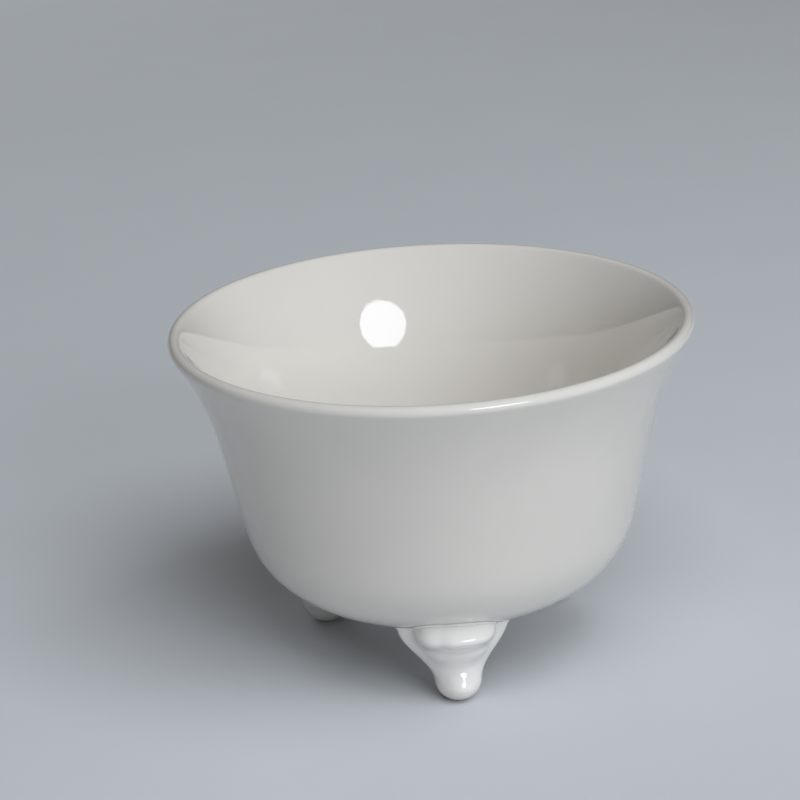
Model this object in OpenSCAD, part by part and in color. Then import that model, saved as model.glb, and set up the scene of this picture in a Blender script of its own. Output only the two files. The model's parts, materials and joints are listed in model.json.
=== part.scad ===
// Footed porcelain bowl: a round, flared, glazed bowl that stands on three small
// press-moulded feet, each luted to the underside with a thin bed of slip.
// Millimetres. The bowl's axis is Z, the foot pads stand on Z = 0, and the front
// foot points towards -Y.

/* [Bowl] */
// Diameter over the lip
rim_d = 115; // [92:1:140]
// Height of the lip above the surface that the bowl stands on
total_h = 77; // [64:1:94]
// Height of the middle of the underside above that surface
clearance_h = 12.2; // [10:0.1:15]
// Thickness of the rounded lip
lip_t = 3; // [2.2:0.1:3.8]
// Thickness of the wall at the foot of the flare
wall_t = 4.1; // [3.3:0.1:4.9]
// Thickness of the floor and of the heel
floor_t = 4.5; // [3.6:0.1:5.4]
// Radius of the hollow sweep under the lip
flare_r = 67; // [54:1:82]
// Lean of the wall right under the lip, from upright
flare_lean = 32.5; // [27:0.5:36]
// Lean of the wall below the flare, from upright
wall_lean = 12.5; // [11:0.5:15]
// Lean of the wall just above the heel, from upright
heel_lean = 10.8; // [7:0.1:10.9]
// Radius of the rounded heel between the wall and the underside
heel_r = 20.5; // [16:0.5:25]
// Slope of the underside at the heel, from level
under_slope = 14; // [9:0.5:20]

/* [Feet] */
// Distance from the bowl's axis to the middle of each foot pad
foot_circle_r = 30.4; // [25:0.1:33]
// Turn of each foot about its own upright axis, front, right and left
foot_turns = [3, 0, 0]; // [-10:1:10]
// Radius of the ball of the toe
toe_r = 5.2; // [4.2:0.1:6.3]
// Radius of the flat that the toe rests on
pad_r = 2.2; // [1.6:0.1:2.6]
// Width over the wings of the knee
knee_w = 24.2; // [20:0.1:29]
// How far the knee sits to one side of the toe, as the mould left it
knee_side = 0.7; // [-1:0.1:1]
// How far the knee stands out in front of the shank
knee_swell = 3.5; // [2.6:0.1:4.2]
// Depth of the dent that parts the knee's knuckle from the rest of it
knee_dent = 0.7; // [0:0.1:1.2]
// How far the ankle stands out in front of the shank
ankle_swell = 0.6; // [0.2:0.1:1]
// How far the toe stands out in front of the shank
toe_swell = 0.9; // [0.3:0.1:1.2]
// How far the shank is drawn in above the toe
shank_waist = 1.4; // [0.8:0.1:1.6]
// Depth of the wing in front of the knee's mid-plane
wing_t = 3.2; // [2.4:0.1:3.8]
// Depth of the foot behind its mid-plane, at the knee
back_t = 5.4; // [4.2:0.1:6.2]

/* [Slip] */
// Thickness of the bed of slip between a foot and the bowl
slip_t = 0.4; // [0.3:0.1:0.8]
// How far the slip squeezes out past the foot
slip_bead = 0.4; // [0.3:0.1:1]

/* [Hidden] */

porcelain = [0.93, 0.92, 0.9];
raw_slip = [0.88, 0.86, 0.82];
round_fn = 96;
step_deg = 5;      // largest turn between two points of a profile arc
flare_step = 2.5;  // the same, on the flare's large radius
lip_under_n = 4;   // points on the lip's underside
lip_in_n = 5;      // points from the lip's inner face to its top
lip_out_n = 5;     // points from its top to its outermost point
wall_n = 4;        // points down the wall
dome_n = 5;        // points from the heel to the middle of the underside
foot_angles = [0, 120, 240];

// ---- Bowl profile -------------------------------------------------------------
// Each point is [radius, height, lean]. A lean of 0 is an upright wall, and 90 is
// a level underside. Going down the outside, the path runs along -[sin, cos].

lip_r = lip_t / 2;
rim_r = rim_d / 2;
lip_c = [rim_r - lip_r, total_h - lip_r];

function out_dir(a) = [cos(a), -sin(a)];
function flat(p) = [p[0], p[1]];

// Arc from point p at lean a0 to lean a1. A radius above 0 bulges outwards.
function arc(p, a0, a1, r, n) =
    let (c = flat(p) - r * out_dir(a0))
    [for (i = [1:n])
        let (a = a0 + (a1 - a0) * i / n, q = c + r * out_dir(a))
        [q[0], q[1], a]];

function steps(a0, a1, s) = max(2, ceil(abs(a1 - a0) / s));
function last(v) = v[len(v) - 1];

// Under the lip, from its outermost point to where the flare starts
lip_under = concat([[rim_r, lip_c[1], 0]],
    arc([rim_r, lip_c[1]], 0, flare_lean, lip_r, lip_under_n));
flare = arc(last(lip_under), flare_lean, wall_lean, -flare_r,
    steps(flare_lean, wall_lean, flare_step));

// The wall takes what height the flare, the heel and the underside leave
under_lean = 90 - under_slope;
heel_drop = heel_r * (sin(under_lean) - sin(heel_lean));
wall_mean_lean = (wall_lean + heel_lean) / 2;
flare_end = last(flare);
under_k = tan(under_slope / 2);  // fall of the shallow dome for each unit of radius
heel_in = heel_r * (cos(heel_lean) - cos(under_lean));
wall_top_h = flare_end[1] - clearance_h - heel_drop
    - under_k * (flare_end[0] - heel_in);
wall_drop = wall_top_h / (1 - under_k * tan(wall_mean_lean));
wall_len = wall_drop / cos(wall_mean_lean);
wall_bow_r = wall_len / ((wall_lean - heel_lean) * PI / 180);
wall = arc(flare_end, wall_lean, heel_lean, -wall_bow_r, wall_n);
heel = arc(last(wall), heel_lean, under_lean, heel_r, steps(heel_lean, under_lean, step_deg));
dome_r = last(heel)[0] / cos(under_lean);
dome = arc(last(heel), under_lean, 90, dome_r, dome_n);

outside = concat(lip_under, flare, wall, heel, dome);

function ease(t) = let (u = min(1, max(0, t))) u * u * (3 - 2 * u);

// The thickness is one smooth curve of the way gone from the lip: the lip's at its
// start, the wall's at the foot of the flare and the floor's at the heel
flare_len = flare_r * (flare_lean - wall_lean) * PI / 180;
way_len = flare_len + wall_len;
flare_share = flare_len / way_len;
thicken_2 = ((wall_t - lip_t) / flare_share - (floor_t - lip_t)) / (flare_share - 1);
thicken_1 = floor_t - lip_t - thicken_2;
heel_start = len(lip_under) + len(flare) + len(wall) - 1;

function way(i, a) =
    i < len(lip_under) + len(flare) ? flare_r * (flare_lean - a) * PI / 180
        : i < heel_start ? flare_len + wall_bow_r * (wall_lean - a) * PI / 180
            : way_len;
function thickness(i, a) =
    let (u = way(i, a) / way_len) lip_t + thicken_1 * u + thicken_2 * u * u;

function grow(p, t) = flat(p) + t * out_dir(p[2]);

first_inner = len(lip_under) - 1;
inside = [for (i = [first_inner:len(outside) - 1])
    let (q = grow(outside[i], -thickness(i, outside[i][2])))
    [max(0, q[0]), q[1]]];

// Over the lip, from its inner face up to its top and down to its outermost point
function lip_arc(a0, a1, n) =
    [for (i = [1:n]) let (a = a0 + (a1 - a0) * i / n) lip_c + lip_r * [cos(a), sin(a)]];
lip_down = lip_arc(90, 0, lip_out_n);
lip_over = concat(lip_arc(180 - flare_lean, 90, lip_in_n),
    [for (i = [0:lip_out_n - 2]) lip_down[i]]);

function axis_end(v) = [for (i = [0:len(v) - 1]) i == len(v) - 1 ? [0, v[i][1]] : flat(v[i])];

module bowl_section() {
    n = len(inside);
    polygon(concat(axis_end(outside), [for (i = [1:n]) axis_end(inside)[n - i]], lip_over));
}

// The outside of the bowl as a filled form, grown by t, from the flare down
module bowl_form(t) {
    under = [for (i = [len(lip_under):len(outside) - 1]) grow(outside[i], t)];
    rotate_extrude($fn = round_fn)
        polygon(concat(axis_end(under), [[0, under[0][1]]]));
}

// ---- Foot ---------------------------------------------------------------------
// Local frame: the pad's middle at the origin, +Y away from the bowl's axis.

toe_c = sqrt(toe_r * toe_r - pad_r * pad_r);  // height of the middle of the toe's ball
knee_share = 0.25;            // how much of the knee's swell is left where it meets the bowl
knee_r = foot_circle_r + toe_r + knee_share * knee_swell;
knee_h = under_at(knee_r);    // height where the knee meets the bowl
loft_over = 2.5;
loft_h = knee_h + loft_over;  // the foot is cut to the bowl below this

// Levels of the foot's features, and how far each reaches up and down
shank_h = 0.22 * knee_h;   // the shank starts to spread
spread_h = 0.92 * knee_h;  // the wings reach their full width
ball_h = 0.18 * knee_h;
ball_below = 0.12 * knee_h;
waist_h = 0.44 * knee_h;
ankle_h = 0.6 * knee_h;
ankle_below = 0.15 * knee_h;
ankle_above = 0.05 * knee_h;
swell_h = 0.85 * knee_h;
swell_below = 0.12 * knee_h;
swell_above = 0.15 * knee_h;
reach = 0.13 * knee_h;     // up from the ball of the toe, and both ways from the waist
dent_at = 62;              // direction of the knee's dent, from the foot's +X
dent_half = 13;
wing_shift = 0.8;          // how far the wings sit out from the toe's middle
wing_share = 0.9;          // depth of the wing at the toe, as a share of the lobe's

// The lobe is narrower than the wing behind it, by a share and by an inset that
// grows from the toe to the knee. It gets squarer than an ellipse towards the knee,
// and the wing gets sharper.
lobe_share = 0.96;
lobe_inset = 0.8;
lobe_inset_more = 1.7;
square = 0.5;
blend_power = 14;          // how sharply the wing and the lobe meet

// Height of the bowl's outside at radius r, from the wall in
function under_at(r) = lookup(r, [for (p = concat(wall, heel, dome)) flat(p)]);

function bump(h, at, below, above) = exp(-pow((h - at) / (h < at ? below : above), 2));
function spread(h) = ease((h - shank_h) / (spread_h - shank_h));
function toe(h) = h < toe_c ? sqrt(toe_r * toe_r - pow(toe_c - h, 2)) : toe_r;

function wing_half(h) = toe(h) + (knee_w / 2 - toe_r) * spread(h);
function lobe_half(h) =
    wing_half(h) * lobe_share
    - (lobe_inset + lobe_inset_more * spread(h)) * ease(h / toe_c);
function shank(h) =
    toe(h) + toe_swell * bump(h, ball_h, ball_below, reach)
    - shank_waist * bump(h, waist_h, reach, reach);
function wing_front(h) = wing_share * shank(h) * (1 - spread(h)) + wing_t * spread(h);
function front(h, a) =
    shank(h) + ankle_swell * bump(h, ankle_h, ankle_below, ankle_above)
    + (knee_swell - knee_dent * bump(a, dent_at, dent_half, dent_half))
        * bump(h, swell_h, swell_below, swell_above);
function back(h) = toe(h) + (back_t - toe_r) * spread(h);

// Radius at angle a of an oval with half-widths w and d, squarer as n rises
function oval(a, w, d, n) = pow(pow(abs(cos(a)) / w, n) + pow(abs(sin(a)) / d, n), -1 / n);
function merged(r1, r2) =
    pow(pow(r1, blend_power) + pow(r2, blend_power), 1 / blend_power);

// One level of the foot: a wide thin wing and a deeper, narrower lobe in front of it
function level(h, n, extra = 0) =
    [for (i = [0:n - 1])
        let (a = 360 * i / n,
             ahead = sin(a) > 0,
             more = square * spread(h),
             wing = oval(a, wing_half(h), ahead ? wing_front(h) : back(h), ahead ? 2 - more : 2),
             lobe = ahead ? oval(a, lobe_half(h), front(h, a), 2 + more) : 0,
             r = merged(wing, lobe) + extra)
        [knee_side * spread(h) + r * cos(a), wing_shift * spread(h) + r * sin(a)]];

foot_n = 40;       // points round each level
toe_levels = 5;    // levels up to the middle of the toe's ball
rise_levels = 24;  // levels from there to the top
foot_hs = concat(
    [for (i = [0:toe_levels]) toe_c * (1 - cos(90 * i / toe_levels))],
    [for (i = [1:rise_levels]) toe_c + (loft_h - toe_c) * i / rise_levels]);

module foot_loft() {
    rings = len(foot_hs);
    points = [for (h = foot_hs) each [for (p = level(h, foot_n)) [p[0], p[1], h]]];
    sides = [for (k = [0:rings - 2]) for (i = [0:foot_n - 1])
        let (j = (i + 1) % foot_n, a = k * foot_n, b = a + foot_n)
        each [[a + i, b + i, b + j], [a + i, b + j, a + j]]];
    bottom = [for (i = [0:foot_n - 1]) i];
    top = [for (i = [0:foot_n - 1]) rings * foot_n - 1 - i];
    polyhedron(points, concat(sides, [bottom, top]));
}

// Puts a piece drawn in the foot's frame at foot number k
module at_foot(k) {
    rotate(foot_angles[k] + 180)
        translate([0, foot_circle_r, 0])
            rotate(foot_turns[k])
                children();
}

module foot(k) {
    color(porcelain)
        difference() {
            at_foot(k) foot_loft();
            bowl_form(slip_t);
        }
}

module slip(k) {
    color(raw_slip)
        difference() {
            intersection() {
                at_foot(k)
                    translate([0, 0, clearance_h / 2])
                        linear_extrude(height = total_h / 2)
                            polygon(level(knee_h, foot_n, slip_bead));
                bowl_form(slip_t);
            }
            bowl_form(0);
        }
}

module bowl() {
    color(porcelain)
        rotate_extrude($fn = round_fn)
            bowl_section();
}

module foot_front() { foot(0); }
module foot_right() { foot(1); }
module foot_left() { foot(2); }
module slip_front() { slip(0); }
module slip_right() { slip(1); }
module slip_left() { slip(2); }

bowl();
foot_front();
foot_right();
foot_left();
slip_front();
slip_right();
slip_left();
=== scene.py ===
"""Footed porcelain bowl: the glazed bowl, its moulded feet, the slip that joins them
and a plain studio.

Everything is in metres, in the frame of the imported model: +Z up, the foot pads on
Z = 0, the bowl's axis on Z and the front foot towards -Y.
"""

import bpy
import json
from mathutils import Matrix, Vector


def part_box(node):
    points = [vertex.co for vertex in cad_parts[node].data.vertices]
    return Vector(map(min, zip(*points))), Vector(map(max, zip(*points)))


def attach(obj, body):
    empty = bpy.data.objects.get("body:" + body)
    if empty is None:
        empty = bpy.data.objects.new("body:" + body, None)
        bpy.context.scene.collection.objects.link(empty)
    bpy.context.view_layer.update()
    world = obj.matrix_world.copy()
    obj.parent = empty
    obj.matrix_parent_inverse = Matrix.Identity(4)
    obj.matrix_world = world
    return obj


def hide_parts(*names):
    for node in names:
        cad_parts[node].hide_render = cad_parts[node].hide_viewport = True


bl_info = {
    "name": "Footed Porcelain Bowl",
    "version": (1, 0, 0),
    "blender": (4, 5, 0),
    "location": "View3D > Sidebar > Porcelain",
    "description": "Builds a glazed porcelain bowl on moulded feet in a plain studio",
    "category": "Object",
}

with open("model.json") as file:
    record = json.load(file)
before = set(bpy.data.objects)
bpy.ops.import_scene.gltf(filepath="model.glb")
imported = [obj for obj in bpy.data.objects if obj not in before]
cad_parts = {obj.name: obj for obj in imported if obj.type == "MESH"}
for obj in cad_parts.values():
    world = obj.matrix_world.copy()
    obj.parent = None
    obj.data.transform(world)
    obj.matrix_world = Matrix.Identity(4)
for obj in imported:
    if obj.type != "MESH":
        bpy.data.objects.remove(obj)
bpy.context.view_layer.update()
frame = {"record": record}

import json
import math

import bpy
import numpy as np
from bpy.props import FloatProperty, FloatVectorProperty, IntProperty, PointerProperty
from bpy.types import Operator, Panel, PropertyGroup
from mathutils import Matrix, Vector

BOWL_LOW, BOWL_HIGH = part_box("bowl")
BODY = "root"
FEET = ("front", "right", "left")
MM = 0.001


def pad_place(name):
    """Middle of a foot's pad, where the record says that it rests."""
    for mount in frame["record"]["mounts"]:
        if mount["name"] == "pad_" + name:
            return Vector(mount["pos_m"])
    raise RuntimeError("the record has no pad for the foot " + name)


# ---- Settings ------------------------------------------------------------------


def length(name, description, default, low=0.0, high=1.0):
    return FloatProperty(name=name, description=description, default=default, min=low, max=high,
                         unit="LENGTH", precision=5)


def angle(name, description, degrees):
    return FloatProperty(name=name, description=description, default=math.radians(degrees),
                         subtype="ANGLE")


def colour(name, description, default):
    return FloatVectorProperty(name=name, description=description, default=default, size=3,
                               min=0.0, max=1.0, subtype="COLOR")


def factor(name, description, default):
    return FloatProperty(name=name, description=description, default=default, min=0.0, max=1.0,
                         subtype="FACTOR")


class BowlSettings(PropertyGroup):
    rim_diameter: length("Rim diameter", "Across the lip", BOWL_HIGH[0] - BOWL_LOW[0])
    height: length("Height", "Lip above the floor", BOWL_HIGH[2])
    clearance: length("Clearance", "Middle of the underside above the floor", BOWL_LOW[2])
    lip: length("Lip thickness", "Thickness of the rounded lip", 3.0 * MM)
    wall: length("Wall thickness", "Thickness of the wall at the foot of the flare", 4.1 * MM)
    floor: length("Floor thickness", "Thickness of the bottom", 4.5 * MM)
    flare_radius: length("Flare radius", "Radius of the sweep under the lip", 67.0 * MM)
    heel_radius: length("Heel radius", "Radius between wall and underside", 20.5 * MM)
    flare_lean: angle("Flare lean", "Lean of the wall right under the lip", 32.5)
    wall_lean: angle("Wall lean", "Lean of the wall below the flare", 12.5)
    heel_lean: angle("Heel lean", "Lean of the wall above the heel", 10.8)
    under_slope: angle("Underside slope", "Slope of the underside at the heel", 14.0)
    wobble: length("Wobble", "How far the fired wall strays from round", 0.10 * MM)
    segments: IntProperty(name="Segments", description="Columns round the bowl", default=192,
                          min=48, max=512)


class FootSettings(PropertyGroup):
    toe_radius: length("Toe radius", "Radius of the ball of the toe", 5.2 * MM)
    pad_radius: length("Pad radius", "Radius of the bare flat that it stands on", 2.2 * MM)
    knee_width: length("Knee width", "Across the wings of the knee", 24.2 * MM)
    knee_side: length("Knee side", "How far the knee sits to one side", 0.7 * MM, -0.002, 0.002)
    knee_swell: length("Knee swell", "How far the knee stands out from the shank", 3.5 * MM)
    knee_dent: length("Knee dent", "Depth of the dent beside the knuckle of the knee", 0.7 * MM)
    ankle_swell: length("Ankle swell", "How far the ankle stands out from the shank", 0.6 * MM)
    toe_swell: length("Toe swell", "How far the toe stands out in front", 0.9 * MM)
    waist: length("Waist", "How far the shank is drawn in above the toe", 1.4 * MM)
    wing: length("Wing depth", "Depth of the wing in front of its middle", 3.2 * MM)
    back: length("Back depth", "Depth of the foot behind its middle", 5.4 * MM)
    bed: length("Slip thickness", "Slip between the foot and the bowl", 0.25 * MM)
    bead: length("Slip bead", "How far the slip runs out over the bowl", 0.35 * MM)
    turns: FloatVectorProperty(name="Turns", description="Turn of each foot about its upright axis",
                               default=(math.radians(3.0), 0.0, 0.0), size=3, subtype="EULER")


class GlazeSettings(PropertyGroup):
    white: colour("Porcelain", "Colour of the glazed body", (0.805, 0.768, 0.708))
    # Lighter than the bowl's white. Partly the feet's own whiter glaze, partly painted light for the
    # brighter light that falls on the feet.
    foot_white_and_painted_light: colour("Foot", "Colour of the glazed feet", (0.93, 0.905, 0.865))
    pooled: colour("Pooled glaze", "Tint where the glaze lies thick", (0.775, 0.765, 0.735))
    bare: colour("Bare body", "Colour of the unglazed pads", (0.68, 0.66, 0.62))
    fleck: colour("Fleck", "Colour of the rare specks in the body", (0.42, 0.36, 0.30))
    roughness: factor("Roughness", "Roughness of the glaze", 0.035)


class StudioSettings(PropertyGroup):
    floor: colour("Floor", "Colour of the plain floor", (0.655, 0.675, 0.695))
    room: colour("Room", "Colour of the room's own soft light", (0.92, 0.80, 0.70))
    room_strength: FloatProperty(name="Room light", description="Strength of the room's light",
                                 default=0.05, min=0.0, max=5.0)
    tint: colour("Light", "Colour of the lamps", (0.90, 0.945, 1.0))
    lamp_power: FloatProperty(name="Lamp", description="Power of the round lamp", default=6.2, min=0.0)
    high_power: FloatProperty(name="High panel", description="Power of the high soft panel",
                              default=17.0, min=0.0)
    back_power: FloatProperty(name="Back panel", description="Power of the soft panel behind",
                              default=6.0, min=0.0)
    low_power: FloatProperty(name="Low panel", description="Power of the low soft panel",
                             default=4.0, min=0.0)
    view_azimuth: angle("View azimuth", "Camera's place round the bowl, to the right of the front", -4.3)
    view_elevation: angle("View elevation", "Camera's height above the lip's plane", 18.31)
    view_distance: length("View distance", "Camera to the middle of the lip", 0.5491, 0.0, 10.0)
    turn: angle("Turn", "Camera turned right from the middle of the lip", -0.825)
    dip: angle("Dip", "Camera dipped below the middle of the lip", 1.71)
    roll: angle("Roll", "Camera rolled", -3.12)
    lens: FloatProperty(name="Lens", description="Focal length in millimetres", default=112.8, min=1.0)


# ---- Shapes --------------------------------------------------------------------

FINE = math.radians(1.5)    # turn between two points of the heel's arc is twice this
WALL_STEPS = 14
LIP_STEPS = 22
RELAX_ROUNDS = 6


def ease(t):
    u = min(1.0, max(0.0, t))
    return u * u * (3.0 - 2.0 * u)


def arc(points, lean, radius, step):
    """Carries the path on from its last point (radius, height, lean) to a new lean."""
    r0, z0, a0 = points[-1]
    count = max(2, math.ceil(abs(lean - a0) / step))
    cr = r0 - radius * math.cos(a0)
    cz = z0 + radius * math.sin(a0)
    for i in range(1, count + 1):
        a = a0 + (lean - a0) * i / count
        points.append((cr + radius * math.cos(a), cz - radius * math.sin(a), a))


def outside_profile(s):
    """Outer face of the bowl from the lip's outermost point down to the axis."""
    points = [(s.rim_diameter / 2, s.height - s.lip / 2, 0.0)]
    arc(points, s.flare_lean, s.lip / 2, 5 * FINE)
    lip_end = len(points) - 1
    arc(points, s.wall_lean, -s.flare_radius, FINE / 2)
    flare_end = len(points) - 1
    r, z, _ = points[-1]
    under_lean = math.pi / 2 - s.under_slope
    fall = math.tan(s.under_slope / 2)
    heel_drop = s.heel_radius * (math.sin(under_lean) - math.sin(s.heel_lean))
    heel_in = s.heel_radius * (math.cos(s.heel_lean) - math.cos(under_lean))
    spare = z - s.clearance - heel_drop - fall * (r - heel_in)
    mean_lean = (s.wall_lean + s.heel_lean) / 2
    wall_length = spare / (1 - fall * math.tan(mean_lean)) / math.cos(mean_lean)
    bow = s.wall_lean - s.heel_lean
    arc(points, s.heel_lean, -wall_length / bow, bow / WALL_STEPS)
    heel_start = len(points) - 1
    arc(points, under_lean, s.heel_radius, 2 * FINE)
    arc(points, math.pi / 2, points[-1][0] / math.cos(under_lean), FINE / 2)
    return points, lip_end, flare_end, heel_start


def wall_thickness(s, share, foot_of_flare):
    """Thickness at a share of the way from the lip to the heel: the lip's, the wall's at
    the foot of the flare and the floor's at the heel, on one smooth curve."""
    wall_more, floor_more = s.wall - s.lip, s.floor - s.lip
    square = (wall_more / foot_of_flare - floor_more) / (foot_of_flare - 1)
    return s.lip + (floor_more - square) * share + square * share ** 2


def bowl_profile(s):
    """Closed section of the bowl as (radius, height), from the underside's middle out,
    up the outside, over the lip and down the inside to the floor's middle."""
    outside, lip_end, flare_end, heel_start = outside_profile(s)
    way = [0.0]
    for p, q in zip(outside[lip_end:], outside[lip_end + 1:]):
        way.append(way[-1] + math.hypot(q[0] - p[0], q[1] - p[1]))
    full = way[heel_start - lip_end]
    inside = []
    for (r, z, lean), gone in zip(outside[lip_end:], way):
        t = wall_thickness(s, min(1.0, gone / full), way[flare_end - lip_end] / full)
        inside.append((r - t * math.cos(lean), z + t * math.sin(lean)))
    cr, cz, lr = s.rim_diameter / 2 - s.lip / 2, s.height - s.lip / 2, s.lip / 2
    turns = [(math.pi - s.flare_lean) * i / LIP_STEPS for i in range(1, LIP_STEPS)]
    lip = [(cr + lr * math.cos(a), cz + lr * math.sin(a)) for a in turns]
    return [(r, z) for r, z, _ in reversed(outside)] + lip + inside


def relaxed(profile, rounds):
    """The section with its curvature evened out, so that reflections run without a break."""
    p = np.array(profile)
    for _ in range(rounds):
        q = p.copy()
        q[1:-1] = 0.5 * p[1:-1] + 0.25 * (p[:-2] + p[2:])
        p = q
    return [tuple(v) for v in p]


def under_height(s):
    """Height of the bowl's outside against its radius, from the heel to the axis."""
    low = [p for p in reversed(outside_profile(s)[0]) if p[1] < 0.5 * s.height]
    radii = np.array([p[0] for p in low])
    heights = np.array([p[1] for p in low])
    return lambda r: float(np.interp(r, radii, heights))


def mesh_object(name, verts, faces, materials, slots=None):
    mesh = bpy.data.meshes.new(name)
    mesh.from_pydata([tuple(v) for v in verts], [], faces)
    mesh.validate()
    for m in materials:
        mesh.materials.append(m)
    for i, poly in enumerate(mesh.polygons):
        poly.use_smooth = True
        if slots:
            poly.material_index = slots[i]
    mesh.update()
    obj = bpy.data.objects.new(name, mesh)
    bpy.context.scene.collection.objects.link(obj)
    return obj


def skin(rings, first_pole=None, last_pole=None):
    """Vertices and faces of a tube of equal rings, closed by poles where they are given."""
    n = len(rings[0])
    verts = [v for ring in rings for v in ring]
    faces = []
    for k in range(len(rings) - 1):
        for i in range(n):
            j = (i + 1) % n
            faces.append((k * n + i, k * n + j, (k + 1) * n + j, (k + 1) * n + i))
    if first_pole is not None:
        verts.append(first_pole)
        faces += [(len(verts) - 1, (i + 1) % n, i) for i in range(n)]
    if last_pole is not None:
        verts.append(last_pole)
        base = (len(rings) - 1) * n
        faces += [(len(verts) - 1, base + i, base + (i + 1) % n) for i in range(n)]
    return verts, faces


# ---- Foot ----------------------------------------------------------------------
# Shares of the foot's height: where a feature is, how far it reaches down and up

KNEE_SHARE = 0.25
SHANK, SPREAD = 0.22, 0.92
TOE = (0.18, 0.12, 0.13)
WAIST = (0.44, 0.13, 0.13)
ANKLE = (0.60, 0.15, 0.05)
KNEE = (0.85, 0.12, 0.15)
DENT_ANGLE, DENT_HALF = math.radians(62), math.radians(13)
LOBE_SHARE, LOBE_INSET, LOBE_INSET_MORE = 0.96, 0.8 * MM, 1.7 * MM
LOBE_EDGE, BLEND = 0.5, 14
WING_SHIFT, WING_EDGE, WING_SHARE = 0.8 * MM, 0.5, 0.9
ROUND_THE_FOOT = 144    # columns round a foot and its slip
UP_THE_FOOT = 110       # rings from the pad to the bowl
CROWDED = 1.25          # above 1, the rings crowd towards the pad
TOP_RINGS = 7           # rings across the top, under the slip
HALVINGS = 40           # of the search for where a foot meets the bowl


class FootForm:
    """Outer surface of a foot, in its own frame: +Y away from the bowl's axis."""

    def __init__(self, s, under, place, turn):
        self.s, self.under, self.place = s, under, place
        self.toe_middle = math.sqrt(s.toe_radius ** 2 - s.pad_radius ** 2)
        self.top = under(place.length + s.toe_radius + KNEE_SHARE * s.knee_swell)
        out = math.atan2(place.y, place.x) - math.pi / 2
        self.matrix = Matrix.Translation(place) @ Matrix.Rotation(out + turn, 4, "Z")

    def bump(self, h, swelling):
        """A smooth swelling, by its share of the foot's height and its reach down and up."""
        at, below, above = swelling
        d = h / self.top - at
        return math.exp(-(d / (below if d < 0 else above)) ** 2)

    def spread(self, h):
        return ease((h / self.top - SHANK) / (SPREAD - SHANK))

    def toe(self, h):
        if h >= self.toe_middle:
            return self.s.toe_radius
        return math.sqrt(self.s.toe_radius ** 2 - (self.toe_middle - h) ** 2)

    def shank(self, h):
        s = self.s
        return self.toe(h) + s.toe_swell * self.bump(h, TOE) - s.waist * self.bump(h, WAIST)

    def front(self, h, a):
        """Depth of the lobe in front, with the dent that parts its knuckle from the rest."""
        s = self.s
        dent = s.knee_dent * math.exp(-((a - DENT_ANGLE) / DENT_HALF) ** 2)
        return (self.shank(h) + s.ankle_swell * self.bump(h, ANKLE)
                + (s.knee_swell - dent) * self.bump(h, KNEE))

    def point(self, a, h):
        """Point at angle a round the foot and height h, in the row frame."""
        s, k, toe = self.s, self.spread(h), self.toe(h)
        wide = toe + (s.knee_width / 2 - s.toe_radius) * k
        ahead = math.sin(a) > 0
        deep = toe + (s.back - s.toe_radius) * k
        if ahead:
            deep = WING_SHARE * self.shank(h) * (1 - k) + s.wing * k
        r = oval(a, wide, deep, 2.0 - WING_EDGE * k if ahead else 2.0)
        if ahead:
            inset = (LOBE_INSET + LOBE_INSET_MORE * k) * ease(h / self.toe_middle)
            lobe = oval(a, wide * LOBE_SHARE - inset, self.front(h, a), 2.0 + LOBE_EDGE * k)
            r = (r ** BLEND + lobe ** BLEND) ** (1 / BLEND)
        local = Vector((s.knee_side * k + r * math.cos(a), WING_SHIFT * k + r * math.sin(a), h))
        return self.matrix @ local

    def heart(self):
        """Middle of the knee, on the floor."""
        return self.matrix @ Vector((self.s.knee_side, WING_SHIFT, 0))

    def bowl_at(self, p):
        """Height of the bowl's outside over a point."""
        return self.under(math.hypot(p.x, p.y))

    def meets(self, a, gap):
        """Height at which the surface at angle a comes within gap of the bowl."""
        low, high = 0.5 * self.top, 1.3 * self.top
        for _ in range(HALVINGS):
            mid = (low + high) / 2
            if mid < self.bowl_at(self.point(a, mid)) - gap:
                low = mid
            else:
                high = mid
        return low


def oval(a, w, d, n):
    """Radius at angle a of an oval with half-widths w and d, squarer as n rises."""
    return (abs(math.cos(a) / w) ** n + abs(math.sin(a) / d) ** n) ** (-1 / n)


def foot_angles():
    return [2 * math.pi * i / ROUND_THE_FOOT for i in range(ROUND_THE_FOOT)]


def foot_mesh(form):
    """Rings from the pad up to the slip, closed by a top that follows the bowl."""
    s = form.s
    tops = [form.meets(a, s.bed) for a in foot_angles()]
    rings = []
    for k in range(UP_THE_FOOT + 1):
        share = (k / UP_THE_FOOT) ** CROWDED
        rings.append([form.point(a, share * top) for a, top in zip(foot_angles(), tops)])
    rim = rings[-1]
    heart = form.heart()
    for k in range(1, TOP_RINGS):
        ring = []
        for p in rim:
            q = p.lerp(Vector((heart.x, heart.y, p.z)), k / TOP_RINGS)
            ring.append(Vector((q.x, q.y, form.bowl_at(q) - s.bed)))
        rings.append(ring)
    pole = Vector((heart.x, heart.y, form.bowl_at(heart) - s.bed))
    return skin(rings, form.matrix @ Vector((0, 0, 0)), pole)


SUNK = 0.03 * MM        # how far the slip sinks into the bowl and the foot
BED_EDGE = 0.8 * MM     # from the foot's edge in to where the bed keeps one thickness
BEAD_DROP = 0.3         # of the bead, down the foot from its top edge
BEAD_BELLY = 1.4        # of the bead, how far its curve is pulled out
BEAD_STEPS = 12
ASIDE = 0.01            # turn either way, to find the direction of the foot's edge


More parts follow.
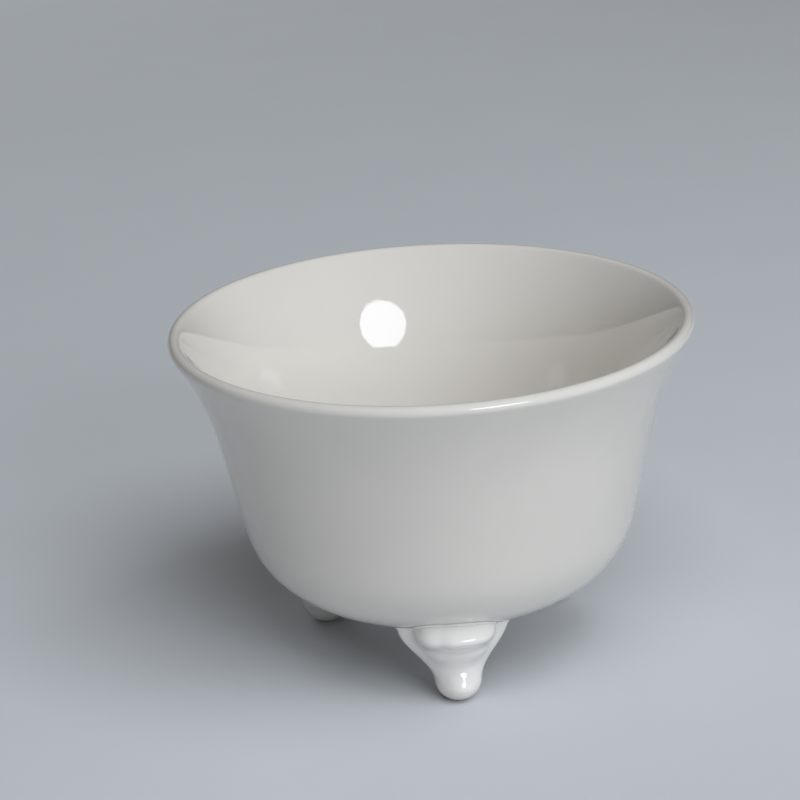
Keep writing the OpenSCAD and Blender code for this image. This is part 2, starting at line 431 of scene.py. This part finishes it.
def slip_section(form, a):
    """Section of the slip at angle a: along the bed, round the bead and back on the bowl."""
    s = form.s
    top = form.meets(a, s.bed)
    edge = form.point(a, top)
    along = form.point(a + ASIDE, top) - form.point(a - ASIDE, top)
    away = Vector((along.y, -along.x, 0)).normalized()
    low = form.point(a, top - BEAD_DROP * s.bead) - away * SUNK
    inner = edge - away * BED_EDGE
    tip = edge + away * s.bead
    end = Vector((tip.x, tip.y, form.bowl_at(tip) + SUNK))
    corner = low + away * BEAD_BELLY * s.bead
    section = [Vector((inner.x, inner.y, form.bowl_at(inner) - s.bed))]
    for k in range(BEAD_STEPS + 1):
        t = k / BEAD_STEPS
        section.append(low * (1 - t) ** 2 + corner * 2 * t * (1 - t) + end * t ** 2)
    section.append(Vector((edge.x, edge.y, form.bowl_at(edge) + SUNK)))
    section.append(Vector((inner.x, inner.y, form.bowl_at(inner) + SUNK)))
    return section


def slip_mesh(form):
    """A bed of slip between foot and bowl, with a thin bead all round its edge."""
    rings = list(zip(*[slip_section(form, a) for a in foot_angles()]))
    heart = form.heart()
    height = form.bowl_at(heart)
    return skin(rings, Vector((heart.x, heart.y, height - form.s.bed)),
                Vector((heart.x, heart.y, height)))


# ---- Materials -----------------------------------------------------------------
# How fine each pattern is, in features to the metre

MOTTLE, SPECKS, WEAR = 45.0, 95.0, 160.0
SWELL, PEEL = 70.0, 700.0
GRAIN, PAPER = 1800.0, 30.0
SWELL_DEPTH, PEEL_DEPTH, GRIT_DEPTH = 0.4 * MM, 0.2 * MM, 0.1 * MM
POOLED_MOST = 0.6           # the most that the pooled tint covers the body
NOT_POOLED = (-1.0, -0.5)   # heights under the floor, where nothing is
GLAZE_IOR = 1.5


def new_material(name):
    material = bpy.data.materials.new(name)
    material.use_nodes = True
    tree = material.node_tree
    shader = tree.nodes["Principled BSDF"]
    return material, tree, shader


def node(tree, kind, **values):
    """A shader node with its named settings and inputs filled in."""
    made = tree.nodes.new(kind)
    for key, value in values.items():
        if key in made.inputs:
            made.inputs[key].default_value = value
        else:
            setattr(made, key, value)
    return made


def noise(tree, place, scale, detail):
    made = node(tree, "ShaderNodeTexNoise", Scale=scale, Detail=detail, Roughness=0.5)
    tree.links.new(place, made.inputs["Vector"])
    return made.outputs["Fac"]


def ramp(tree, source, stops):
    """Colours laid out along a value, as (place, colour)."""
    made = tree.nodes.new("ShaderNodeValToRGB")
    while len(made.color_ramp.elements) < len(stops):
        made.color_ramp.elements.new(0.5)
    for element, (at, shade) in zip(made.color_ramp.elements, stops):
        element.position = at
        element.color = (*shade, 1.0)
    tree.links.new(source, made.inputs["Fac"])
    return made.outputs["Color"]


def mix(tree, share, first, second, blend="MIX"):
    """Two colours mixed by a share. Each of the three is a socket or a value."""
    made = node(tree, "ShaderNodeMix", data_type="RGBA", blend_type=blend)
    if isinstance(share, bpy.types.NodeSocket):
        tree.links.new(share, made.inputs[0])
    else:
        made.inputs[0].default_value = share
    for socket, value in ((made.inputs[6], first), (made.inputs[7], second)):
        if isinstance(value, bpy.types.NodeSocket):
            tree.links.new(value, socket)
        else:
            socket.default_value = (*value, 1.0)
    return made.outputs[2]


def glaze_material(name, white, pooled, fleck, roughness, pool_heights):
    """Clear glossy glaze over white porcelain: soft mottling, thicker and cooler glaze in
    the hollows, rare specks, and the faint unevenness of a fired surface."""
    material, tree, shader = new_material(name)
    place = tree.nodes.new("ShaderNodeTexCoord").outputs["Object"]
    mottle = noise(tree, place, MOTTLE, 4.0)
    cloud = ramp(tree, mottle, ((0.30, tuple(c * 0.965 for c in white)), (0.70, white)))
    split = tree.nodes.new("ShaderNodeSeparateXYZ")
    tree.links.new(place, split.inputs[0])
    low, high = pool_heights
    depth = node(tree, "ShaderNodeMapRange", interpolation_type="SMOOTHSTEP")
    depth.inputs["From Min"].default_value = high
    depth.inputs["From Max"].default_value = low
    tree.links.new(split.outputs["Z"], depth.inputs["Value"])
    depth_limit = node(tree, "ShaderNodeMath", operation="MULTIPLY")
    depth_limit.inputs[1].default_value = POOLED_MOST
    tree.links.new(depth.outputs["Result"], depth_limit.inputs[0])
    body = mix(tree, depth_limit.outputs[0], cloud, pooled)
    cells = node(tree, "ShaderNodeTexVoronoi", Scale=SPECKS, Randomness=1.0)
    tree.links.new(place, cells.inputs["Vector"])
    speck = ramp(tree, cells.outputs["Distance"], ((0.012, (1, 1, 1)), (0.022, (0, 0, 0))))
    pick = node(tree, "ShaderNodeSeparateColor")
    tree.links.new(cells.outputs["Color"], pick.inputs[0])
    rare = ramp(tree, pick.outputs[0], ((0.90, (0, 0, 0)), (0.93, (0.55, 0.55, 0.55))))
    speck_on = mix(tree, 1.0, speck, rare, blend="MULTIPLY")
    colour_out = mix(tree, speck_on, body, fleck)
    tree.links.new(colour_out, shader.inputs["Base Color"])
    worn = noise(tree, place, WEAR, 2.0)
    rough = node(tree, "ShaderNodeMapRange")
    rough.inputs["To Min"].default_value = roughness * 0.8
    rough.inputs["To Max"].default_value = roughness * 1.25
    tree.links.new(worn, rough.inputs["Value"])
    tree.links.new(rough.outputs["Result"], shader.inputs["Roughness"])
    swell = node(tree, "ShaderNodeBump", Strength=0.35, Distance=SWELL_DEPTH)
    tree.links.new(noise(tree, place, SWELL, 1.0), swell.inputs["Height"])
    peel = node(tree, "ShaderNodeBump", Strength=0.05, Distance=PEEL_DEPTH)
    tree.links.new(noise(tree, place, PEEL, 2.0), peel.inputs["Height"])
    tree.links.new(swell.outputs["Normal"], peel.inputs["Normal"])
    tree.links.new(peel.outputs["Normal"], shader.inputs["Normal"])
    shader.inputs["IOR"].default_value = GLAZE_IOR
    shader.inputs["Coat Weight"].default_value = 0.6
    shader.inputs["Coat Roughness"].default_value = 0.03
    shader.inputs["Coat IOR"].default_value = GLAZE_IOR
    return material


def bare_material(name, bare):
    """Unglazed porcelain, dry and slightly grainy, greyed by what it has stood on."""
    material, tree, shader = new_material(name)
    place = tree.nodes.new("ShaderNodeTexCoord").outputs["Object"]
    grain = noise(tree, place, GRAIN, 4.0)
    tree.links.new(ramp(tree, grain, ((0.3, tuple(c * 0.82 for c in bare)), (0.7, bare))),
                   shader.inputs["Base Color"])
    shader.inputs["Roughness"].default_value = 0.75
    grit = node(tree, "ShaderNodeBump", Strength=0.3, Distance=GRIT_DEPTH)
    tree.links.new(grain, grit.inputs["Height"])
    tree.links.new(grit.outputs["Normal"], shader.inputs["Normal"])
    return material


def floor_material(name, tone):
    """Pale matt paper with a faint cloudiness."""
    material, tree, shader = new_material(name)
    place = tree.nodes.new("ShaderNodeTexCoord").outputs["Object"]
    paper = noise(tree, place, PAPER, 5.0)
    tree.links.new(ramp(tree, paper, ((0.3, tuple(c * 0.985 for c in tone)), (0.7, tone))),
                   shader.inputs["Base Color"])
    shader.inputs["Roughness"].default_value = 0.9
    shader.inputs["Specular IOR Level"].default_value = 0.2
    return material


# ---- Operators -----------------------------------------------------------------

BARE_LINE = 0.15 * MM    # the glaze is wiped off below this height
POOL_SHARE = 0.3         # of the bowl's height, over which the pooled tint fades


def stray(a):
    """How a fired wall strays from round: out at an angle a, as a share of the wobble."""
    return math.sin(2 * a + 0.7) + 0.5 * math.sin(3 * a + 2.1)


def sag(a):
    """How a fired lip strays from level: up at an angle a, as a share of the wobble."""
    return 0.6 * math.sin(2 * a + 2.4)


def foot_forms(scene):
    """Each foot's name and form."""
    under = under_height(scene.porcelain_bowl)
    for name, turn in zip(FEET, scene.porcelain_feet.turns):
        yield name, FootForm(scene.porcelain_feet, under, pad_place(name), turn)


class PORCELAIN_OT_bowl(Operator):
    """Builds the thin glazed bowl with its rounded lip"""
    bl_idname = "porcelain.bowl"
    bl_label = "Build Bowl"
    bl_options = {"REGISTER", "UNDO"}

    def execute(self, context):
        s, glaze = context.scene.porcelain_bowl, context.scene.porcelain_glaze
        profile = relaxed(bowl_profile(s), RELAX_ROUNDS)
        angles = [2 * math.pi * i / s.segments for i in range(s.segments)]
        rings = []
        for r, z in profile[1:-1]:
            amount = s.wobble * ease((z - 0.4 * s.height) / (0.6 * s.height))
            rings.append([((r + amount * stray(a)) * math.cos(a), (r + amount * stray(a)) * math.sin(a),
                           z + amount * sag(a)) for a in angles])
        verts, faces = skin(rings, (0, 0, profile[0][1]), (0, 0, profile[-1][1]))
        material = glaze_material("bowl_glaze", tuple(glaze.white), tuple(glaze.pooled),
                                  tuple(glaze.fleck), glaze.roughness,
                                  (s.clearance, s.clearance + POOL_SHARE * s.height))
        bowl = mesh_object("porcelain_bowl", verts, faces, [material])
        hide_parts("bowl")
        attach(bowl, BODY)
        return {"FINISHED"}


class PORCELAIN_OT_feet(Operator):
    """Builds the moulded feet with their bare pads"""
    bl_idname = "porcelain.feet"
    bl_label = "Build Feet"
    bl_options = {"REGISTER", "UNDO"}

    def execute(self, context):
        glaze = context.scene.porcelain_glaze
        # The feet take the lighter foot colour, which is partly painted light.
        glazed = glaze_material("foot_glaze", tuple(glaze.foot_white_and_painted_light), tuple(glaze.pooled),
                                tuple(glaze.fleck), glaze.roughness, NOT_POOLED)
        bare = bare_material("bare_pad", tuple(glaze.bare))
        for name, form in foot_forms(context.scene):
            verts, faces = foot_mesh(form)
            slots = [int(max(verts[i][2] for i in face) < BARE_LINE) for face in faces]
            foot = mesh_object("foot_" + name + "_moulded", verts, faces, [glazed, bare], slots)
            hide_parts("foot_" + name)
            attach(foot, BODY)
        return {"FINISHED"}


class PORCELAIN_OT_slip(Operator):
    """Builds the fillets of slip that join the feet to the bowl"""
    bl_idname = "porcelain.slip"
    bl_label = "Build Slip"
    bl_options = {"REGISTER", "UNDO"}

    def execute(self, context):
        glaze = context.scene.porcelain_glaze
        # The slip takes the lighter foot colour, which is partly painted light.
        material = glaze_material("slip_glaze", tuple(glaze.foot_white_and_painted_light), tuple(glaze.pooled),
                                  tuple(glaze.fleck), glaze.roughness, NOT_POOLED)
        for name, form in foot_forms(context.scene):
            verts, faces = slip_mesh(form)
            slip = mesh_object("slip_" + name + "_fillet", verts, faces, [material])
            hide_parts("slip_" + name)
            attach(slip, BODY)
        return {"FINISHED"}


def area_light(name, shape, size, power, place, target, tint):
    data = bpy.data.lights.new(name, "AREA")
    data.shape = shape
    data.size = size[0]
    data.size_y = size[1]
    data.energy = power
    data.color = tint
    light = bpy.data.objects.new(name, data)
    light.location = place
    light.rotation_euler = (Vector(target) - Vector(place)).to_track_quat("-Z", "Y").to_euler()
    bpy.context.scene.collection.objects.link(light)
    return light


def round_the_bowl(azimuth, elevation, distance, target):
    """A place at an azimuth to the right of the front, an elevation and a distance."""
    flat = math.cos(elevation)
    return Vector(target) + distance * Vector((math.sin(azimuth) * flat, -math.cos(azimuth) * flat,
                                               math.sin(elevation)))


# Round lamp, which is seen as a round spot on the inner wall: its size, the place on the wall where the
# spot lies and its direction from there
LAMP_SIZE = (0.71, 0.60)
LAMP_SPOT = (-0.008, 0.046, 0.06)
LAMP_AZIMUTH, LAMP_ELEVATION = 23.0, 21.4
LIGHT_DISTANCE = 1.6

# Soft panels: name, setting of its power, size, azimuth and elevation in degrees
PANELS = (
    ("high_panel", "high_power", (1.4, 1.0), 25.0, 60.0),
    ("low_panel", "low_power", (1.2, 1.0), 52.0, 30.0),
    ("back_panel", "back_power", (1.2, 1.0), 200.0, 18.0),
)
FLOOR_RADII = (0.2, 0.6, 1.6, 4.0)
FLOOR_COLUMNS = 96


class PORCELAIN_OT_stage(Operator):
    """Sets the pale floor, the soft lights and the camera"""
    bl_idname = "porcelain.stage"
    bl_label = "Set Stage"
    bl_options = {"REGISTER", "UNDO"}

    def execute(self, context):
        s, bowl = context.scene.porcelain_studio, context.scene.porcelain_bowl
        self.lay_floor(s)
        self.light(s, bowl)
        self.place_camera(context, s, bowl)
        return {"FINISHED"}

    def lay_floor(self, s):
        angles = [2 * math.pi * i / FLOOR_COLUMNS for i in range(FLOOR_COLUMNS)]
        rings = [[(r * math.cos(a), r * math.sin(a), 0.0) for a in angles] for r in FLOOR_RADII]
        verts, faces = skin(rings, (0.0, 0.0, 0.0))
        floor = mesh_object("floor", verts, faces, [floor_material("floor_paper", tuple(s.floor))])

    def light(self, s, bowl):
        world = bpy.data.worlds.new("room")
        world.use_nodes = True
        background = world.node_tree.nodes["Background"]
        background.inputs["Color"].default_value = (*s.room, 1.0)
        background.inputs["Strength"].default_value = s.room_strength
        bpy.context.scene.world = world
        middle = Vector((0.0, 0.0, 0.65 * bowl.height))
        tint = tuple(s.tint)
        place = round_the_bowl(math.radians(LAMP_AZIMUTH), math.radians(LAMP_ELEVATION),
                               LIGHT_DISTANCE, LAMP_SPOT)
        area_light("lamp", "ELLIPSE", LAMP_SIZE, s.lamp_power, place, middle, tint)
        for name, power, size, azimuth, elevation in PANELS:
            place = round_the_bowl(math.radians(azimuth), math.radians(elevation), LIGHT_DISTANCE, middle)
            panel = area_light(name, "RECTANGLE", size, getattr(s, power), place, middle, tint)
            panel.visible_glossy = False

    def place_camera(self, context, s, bowl):
        data = bpy.data.cameras.new("camera")
        data.lens = s.lens
        data.sensor_width = 36.0
        data.clip_start = 0.01
        camera = bpy.data.objects.new("camera", data)
        lip_middle = Vector((0.0, 0.0, bowl.height - bowl.lip / 2))
        camera.location = round_the_bowl(s.view_azimuth, s.view_elevation, s.view_distance, lip_middle)
        heading = -s.view_azimuth + s.turn
        pitch = -(s.view_elevation + s.dip)
        turn = Matrix.Rotation(-heading, 4, "Z") @ Matrix.Rotation(math.pi / 2 + pitch, 4, "X")
        camera.rotation_euler = (turn @ Matrix.Rotation(s.roll, 4, "Z")).to_euler()
        context.scene.collection.objects.link(camera)
        context.scene.camera = camera
        context.scene.view_settings.view_transform = "Standard"


class PORCELAIN_PT_panel(Panel):
    """Sizes, colours and lights of the footed porcelain bowl"""
    bl_idname = "PORCELAIN_PT_panel"
    bl_label = "Footed Porcelain Bowl"
    bl_space_type = "VIEW_3D"
    bl_region_type = "UI"
    bl_category = "Porcelain"

    def draw(self, context):
        layout = self.layout
        for label, group, operators in GROUPS:
            box = layout.box()
            box.label(text=label)
            settings = getattr(context.scene, group)
            for key in settings.bl_rna.properties.keys():
                if key not in ("rna_type", "name"):
                    box.prop(settings, key)
            for operator in operators:
                box.operator(operator)


GROUPS = (
    ("Bowl", "porcelain_bowl", ("porcelain.bowl",)),
    ("Feet and slip", "porcelain_feet", ("porcelain.feet", "porcelain.slip")),
    ("Glaze", "porcelain_glaze", ()),
    ("Studio", "porcelain_studio", ("porcelain.stage",)),
)
SETTINGS = {
    "porcelain_bowl": BowlSettings,
    "porcelain_feet": FootSettings,
    "porcelain_glaze": GlazeSettings,
    "porcelain_studio": StudioSettings,
}
CLASSES = (BowlSettings, FootSettings, GlazeSettings, StudioSettings, PORCELAIN_OT_bowl,
           PORCELAIN_OT_feet, PORCELAIN_OT_slip, PORCELAIN_OT_stage, PORCELAIN_PT_panel)


def register():
    for cls in CLASSES:
        bpy.utils.register_class(cls)
    for name, cls in SETTINGS.items():
        setattr(bpy.types.Scene, name, PointerProperty(type=cls))


def unregister():
    for name in SETTINGS:
        delattr(bpy.types.Scene, name)
    for cls in reversed(CLASSES):
        bpy.utils.unregister_class(cls)


def main():
    register()
    bpy.ops.porcelain.bowl()
    bpy.ops.porcelain.feet()
    bpy.ops.porcelain.slip()
    bpy.ops.porcelain.stage()


if __name__ == "__main__":
    main()
